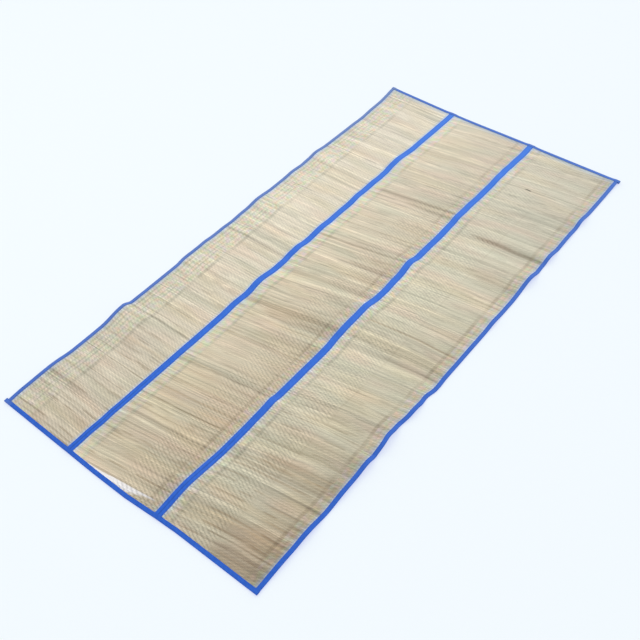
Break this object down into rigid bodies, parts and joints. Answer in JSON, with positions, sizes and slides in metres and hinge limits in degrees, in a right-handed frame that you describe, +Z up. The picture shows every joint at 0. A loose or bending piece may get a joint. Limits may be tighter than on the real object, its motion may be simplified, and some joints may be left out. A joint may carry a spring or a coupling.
{
  "type": "folding sleeping mat",
  "caption": "Long rectangular sleeping mat of woven straw strips, joined and edged with cloth tape, laid open on the floor with soft ridges across it.",
  "frame": {"origin": "middle of the mat's outline, on the floor it lies on", "axes": "+Y along the mat from the near short edge to the far one, +X across it from the narrow left strip to the right strip, +Z up"},
  "size_m": [0.91, 1.818, 0.0201],
  "materials": {
    "straw_pale": "woven straw, cream, slightly glossy",
    "straw_warm": "woven straw, warm tan, slightly glossy",
    "straw_grey": "woven straw, greenish grey beige, slightly glossy",
    "tape_blue": "plain woven cloth tape, bright blue, matte"
  },
  "bodies": {
    "root": {"strip_left": "straw_pale", "strip_middle": "straw_warm", "strip_right": "straw_grey", "seam_tape_left": "tape_blue", "seam_tape_right": "tape_blue", "binding_side_left": "tape_blue", "binding_side_right": "tape_blue", "binding_end_near": "tape_blue", "binding_end_far": "tape_blue"}
  },
  "joints": []
}
